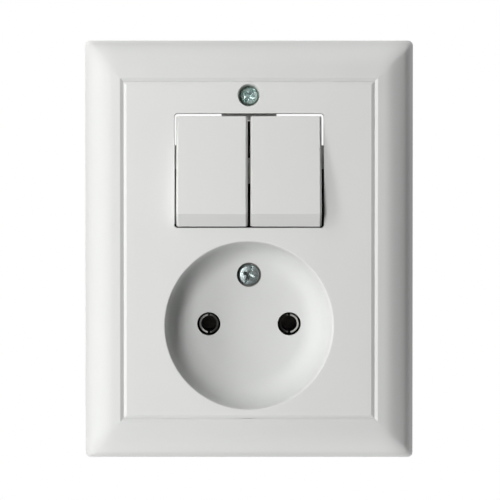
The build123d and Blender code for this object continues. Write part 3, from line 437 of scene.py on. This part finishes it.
RECIPES = {
    "cover_plastic": (soft_frame,),
    "rocker_plastic": (rocker_painted_shade,),
    "base_thermoset": (moulded_plastic, (0.022, 0.023, 0.025), (0.04, 0.04, 0.042), (0.4, 0.6), BASE_GRAIN),
    "plunger_plastic": (moulded_plastic, (0.62, 0.56, 0.42), (0.7, 0.64, 0.5), (0.35, 0.5), FINE_GRAIN),
    "cover_thermoset": (two_tone_thermoset,),
    "contact_nickel": (sleeve_painted_shade,),
    "zinc_steel": (plated_metal, (0.3, 0.4, 0.38), (0.6, 0.68, 0.66), (0.2, 0.4)),
    "support_steel": (plated_metal, (0.5, 0.5, 0.48), (0.64, 0.64, 0.62), (0.3, 0.5), (1, 1, 0.06)),
    "contact_brass": (plated_metal, (0.66, 0.47, 0.19), (0.78, 0.6, 0.3), (0.22, 0.4)),
    "contact_silver": (plated_metal, (0.7, 0.69, 0.66), (0.82, 0.81, 0.78), (0.2, 0.35)),
    "spring_steel": (plated_metal, (0.4, 0.4, 0.41), (0.54, 0.54, 0.55), (0.22, 0.36)),
    "cover_plastic_plate": (plate_painted_shade,),
}
MATERIALS = {name: make(name, *values)[0] for name, (make, *values) in RECIPES.items()}
NODE_MATERIALS = {"centre_plate": MATERIALS["cover_plastic_plate"]}


def screw_steel(name, low, high, gloss, grain_height):
    return plated_metal(name, low, high, gloss, grain_height=grain_height)[0]


# Each cover screw has a steel for its head and shank and a darker one for its recess, which is painted
# shade. The upper one is bluer
UPPER_STEEL = (
    screw_steel("upper_steel", (0.58, 0.79, 0.76), (0.84, 1.0, 0.97), (0.18, 0.34), UPPER_SCREW_GRAIN),
    screw_steel("upper_recess_painted_shade", (0.26, 0.36, 0.345), (0.6, 0.76, 0.74), (0.18, 0.34), UPPER_SCREW_GRAIN),
)
SOCKET_STEEL = (
    screw_steel("socket_steel", (0.34, 0.42, 0.42), (0.58, 0.64, 0.64), (0.22, 0.36), SOCKET_SCREW_GRAIN),
    screw_steel("socket_recess_painted_shade", (0.12, 0.15, 0.145), (0.4, 0.46, 0.45), (0.2, 0.36), SOCKET_SCREW_GRAIN),
)

# Screws: node, height of the head, radius of the shank, turn of the slot, and steels
SCREWS = (
    ("upper_cover_screw", 0.0019, 0.00125, radians(35), UPPER_STEEL),
    ("socket_cover_screw", 0.0011, 0.0015, radians(20), SOCKET_STEEL),
)


def dress_frame():
    for name, node in nodes.items():
        slot = node.data.materials[0].name.split(".")[0]
        node.data.materials.clear()
        node.data.materials.append(NODE_MATERIALS.get(name, MATERIALS[slot]))


def add_object(name, data):
    made = bpy.data.objects.new(name, data)
    bpy.context.scene.collection.objects.link(made)
    return made


# Cover screws: domed head with a cross recess and a slot, threaded shank

def arm_depth(along, beside):
    """Depth of one arm of the cross recess, deepest in the middle."""
    if along > RECESS_SPAN:
        return 0.0
    wall = min(1.0, max(0.0, (RECESS_HALF - beside) / RECESS_SLOPE))
    end = min(1.0, (RECESS_SPAN - along) / RECESS_SLOPE)
    return wall * end * RECESS_DEPTH * (1 - RECESS_RISE * along / RECESS_SPAN)


def cut_depth(x, z, turn):
    """Depth of the recess and the slot below the head's face."""
    along = abs(x * sin(turn) + z * cos(turn))
    beside = abs(x * cos(turn) - z * sin(turn))
    slot = SLOT_DEPTH * min(1.0, max(0.0, (SLOT_HALF - beside) / RECESS_SLOPE))
    return max(arm_depth(along, beside), arm_depth(beside, along), slot)


def screw_rings(radius, top, seat, shank, end, turn):
    """Rings of (x, y, z) from the middle of the head to the end of the shank."""
    angles = [2 * pi * i / COLUMNS for i in range(COLUMNS)]

    def ring(size, depth):
        return [(size * cos(a), depth, size * sin(a)) for a in angles]

    rings = []
    face = radius - HEAD_EDGE
    for step in range(1, HEAD_RINGS + 1):
        size = face * step / HEAD_RINGS
        dome = top + HEAD_DOME * (size / radius) ** 2
        rings.append([(x, dome + cut_depth(x, z, turn), z) for x, _, z in ring(size, 0)])
    rim = top + HEAD_DOME
    for step in range(1, EDGE_RINGS + 1):
        bend = step / EDGE_RINGS * pi / 2
        size = face + HEAD_EDGE * sin(bend)
        drop = HEAD_EDGE * (1 - cos(bend))
        edge = [(x, rim + max(drop, cut_depth(x, z, turn)), z) for x, _, z in ring(size, 0)]
        rings.append([(x, min(seat, depth), z) for x, depth, z in edge])
    rings.append(ring(radius, seat))
    rings.append(ring(shank, seat))
    count = int((end - seat) / THREAD_PITCH * THREAD_STEPS)
    for step in range(1, count + 1):
        depth = seat + (end - seat) * step / count
        left = end - depth
        turned = []
        for a in angles:
            phase = (depth / THREAD_PITCH + a / (2 * pi)) % 1.0
            size = shank - THREAD_DEPTH * abs(2 * phase - 1)
            size = min(size, shank - THREAD_DEPTH + left)
            turned.append((size * cos(a), depth, size * sin(a)))
        rings.append(turned)
    return rings


def add_screw(node, head_height, shank, turn, steels):
    low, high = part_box(node)
    radius = (high.x - low.x) / 2
    rings = screw_rings(radius, low.y, low.y + head_height, shank, high.y, turn)
    deepest = low.y + cut_depth(0, 0, turn)
    points = [(0, deepest, 0)] + [point for ring in rings for point in ring] + [(0, high.y, 0)]
    faces = []
    last = 1 + (len(rings) - 1) * COLUMNS
    for i in range(COLUMNS):
        after = (i + 1) % COLUMNS
        faces.append((0, 1 + i, 1 + after))
        for row in range(1, last, COLUMNS):
            below = row + COLUMNS
            faces.append((row + i, below + i, below + after, row + after))
        faces.append((last + i, len(points) - 1, last + after))
    mesh = bpy.data.meshes.new(f"turned_{node}")
    mesh.from_pydata(points, [], faces)
    mesh.shade_smooth()
    mesh.set_sharp_from_angle(angle=SHARP_ANGLE)
    for steel in steels:
        mesh.materials.append(steel)
    # painted shade: faces deep in the recess take the darker recess steel
    for face in mesh.polygons:
        x, y, z = face.center
        hollow = y - low.y - HEAD_DOME > RECESS_SHADE_DEPTH
        within = x ** 2 + z ** 2 < (radius - HEAD_EDGE) ** 2
        if hollow and within and face.normal.y < 0:
            face.material_index = 1
    screw = add_object(f"turned_{node}", mesh)
    screw.location = ((low.x + high.x) / 2, 0, (low.z + high.z) / 2)
    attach(screw, "insert")
    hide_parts(node)


# Springs and window lips

def add_coil(side):
    """The plunger's spring, copied onto the rocker's body with a mesh of its own."""
    node = f"{side}_plunger_spring"
    coil = add_object(f"{side}_coil", nodes[node].data.copy())
    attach(coil, f"{side}_rocker")
    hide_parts(node)
    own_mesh(coil)


def add_lips():
    """Narrow drafted lips on the left and lower walls of the switch window, beside the rockers."""
    shape = bmesh.new()
    for axis, wall, width, *ends in LIPS:
        rings = []
        for along in ends:
            ring = []
            for share, depth in LIP_SECTION:
                across = wall + width * share
                x, z = (across, along) if axis == "x" else (along, across)
                ring.append(shape.verts.new((x, PLATE_FACE + depth, z)))
            rings.append(ring)
            shape.faces.new(ring)
        for i in range(len(LIP_SECTION)):
            shape.faces.new((rings[0][i - 1], rings[0][i], rings[1][i], rings[1][i - 1]))
    bmesh.ops.recalc_face_normals(shape, faces=shape.faces)
    mesh = bpy.data.meshes.new("window_lips")
    shape.to_mesh(mesh)
    shape.free()
    mesh.materials.append(NODE_MATERIALS["centre_plate"])
    lips = add_object("window_lips", mesh)
    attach(lips, "insert")


# Lights, floor and camera

def aim(thing, target):
    thing.rotation_euler = (Vector(target) - thing.location).to_track_quat("-Z", "Y").to_euler()


def soft_light(name, place, target, size, power):
    lamp = bpy.data.lights.new(name, "AREA")
    lamp.shape = "RECTANGLE"
    lamp.size, lamp.size_y = size
    lamp.energy = power
    made = add_object(name, lamp)
    made.location = place
    made.visible_camera = False
    aim(made, target)
    return made


def light_world():
    world = bpy.data.worlds.new("studio")
    world.use_nodes = True
    tree = world.node_tree
    depth = split(tree, coordinates(tree, "Generated"))["Y"]

    # soft fill from behind, which reaches the back and the outer edges
    fill = tree.nodes["Background"]
    fill.inputs["Color"].default_value = FILL_COLOUR
    tree.links.new(spread(tree, depth, *FILL_GRADE), fill.inputs["Strength"])

    # white backdrop, mirrored by gloss as well and dimmer on the viewer's side
    ray = tree.nodes.new("ShaderNodeLightPath").outputs
    white = tree.nodes.new("ShaderNodeBackground")
    white.inputs["Color"].default_value = (1, 1, 1, 1)
    backdrop = spread(tree, depth, *BACKDROP_GRADE)
    tree.links.new(calc(tree, "MAXIMUM", ray["Is Camera Ray"], backdrop), white.inputs["Strength"])
    mirrored = calc(tree, "MAXIMUM", ray["Is Glossy Ray"], ray["Is Transmission Ray"])
    mix = tree.nodes.new("ShaderNodeMixShader")
    tree.links.new(calc(tree, "MAXIMUM", ray["Is Camera Ray"], mirrored), mix.inputs["Fac"])
    tree.links.new(fill.outputs["Background"], mix.inputs[1])
    tree.links.new(white.outputs["Background"], mix.inputs[2])
    tree.links.new(mix.outputs["Shader"], tree.nodes["World Output"].inputs["Surface"])
    bpy.context.scene.world = world


def lay_floor():
    shape = bmesh.new()
    bmesh.ops.create_circle(shape, cap_ends=True, radius=FLOOR_RADIUS, segments=FLOOR_SEGMENTS)
    mesh = bpy.data.meshes.new("floor")
    shape.to_mesh(mesh)
    shape.free()
    floor = add_object("floor", mesh)
    floor.location.z = cad_low.z - FLOOR_DROP
    made, tree, shader = new_material("pale_floor")
    vary_colour(tree, shader, noise(tree, FLOOR_CLOUDS), (0.8, 0.8, 0.79), (0.83, 0.83, 0.82))
    shader.inputs["Roughness"].default_value = FLOOR_ROUGHNESS
    mesh.materials.append(made)
    # the floor has its own overhead lamp and throws no light back at the object
    floor.visible_diffuse = False
    floor.visible_glossy = False
    lit = bpy.data.collections.new("floor_lit")
    lit.objects.link(floor)
    soft_light(*OVERHEAD).light_linking.receiver_collection = lit


def place_camera():
    lens = bpy.data.cameras.new("camera")
    lens.sensor_width = SENSOR_MM
    lens.lens = SENSOR_MM * CAMERA_DISTANCE / VIEW_WIDTH
    camera = add_object("camera", lens)
    x, z = VIEW_CENTRE
    camera.location = (x, -CAMERA_DISTANCE, z + CAMERA_RISE)
    aim(camera, (x, 0, z))
    bpy.context.scene.camera = camera


dress_frame()
for screw in SCREWS:
    add_screw(*screw)
for side in ("left", "right"):
    add_coil(side)
add_lips()
for lamp in LAMPS:
    soft_light(*lamp)
light_world()
lay_floor()
place_camera()
bpy.context.scene.view_settings.view_transform = "Standard"
